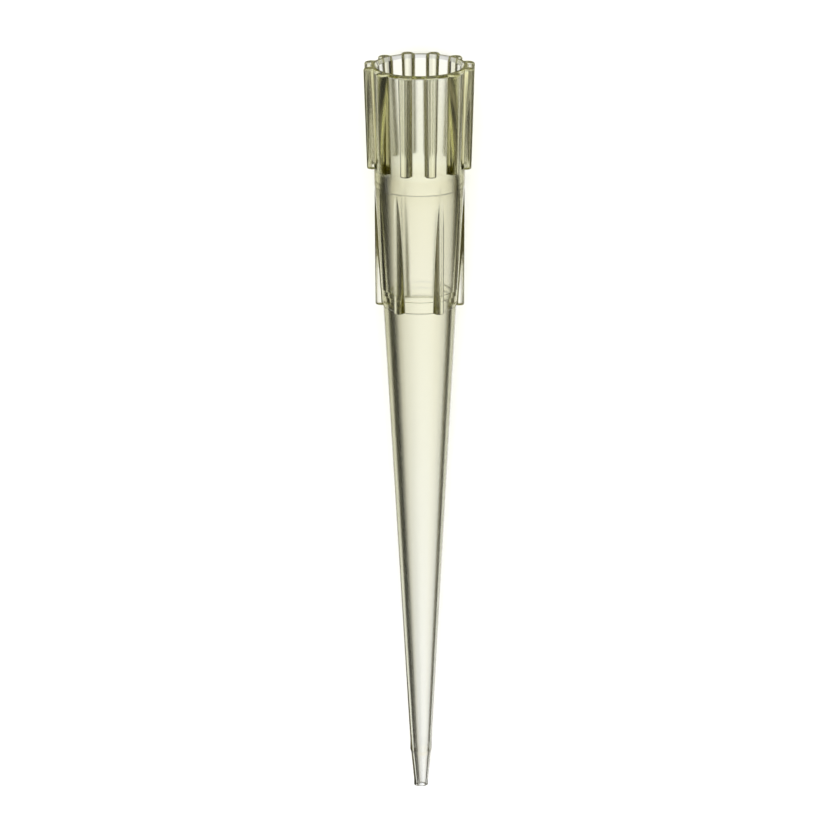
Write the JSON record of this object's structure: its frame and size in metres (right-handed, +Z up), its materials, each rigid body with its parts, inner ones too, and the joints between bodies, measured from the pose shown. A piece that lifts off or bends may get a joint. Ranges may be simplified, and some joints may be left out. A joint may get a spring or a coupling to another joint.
{
  "type": "pipette tip",
  "caption": "Ribbed tapered tip that pushes onto a micropipette's nose cone and holds the liquid it draws up.",
  "frame": {"origin": "centre of the footprint of the tip as it lies, on the surface it lies on", "axes": "+Z up; +Y towards the mouth, so the point is at -Y; the tip's own axis rises 3.8 degrees towards the mouth"},
  "size_m": [0.0074, 0.0512, 0.0076],
  "materials": {
    "polypropylene": "clear, faintly hazy, pale yellow, moulded"
  },
  "bodies": {
    "root": {"pipette_tip": "polypropylene"}
  },
  "joints": []
}
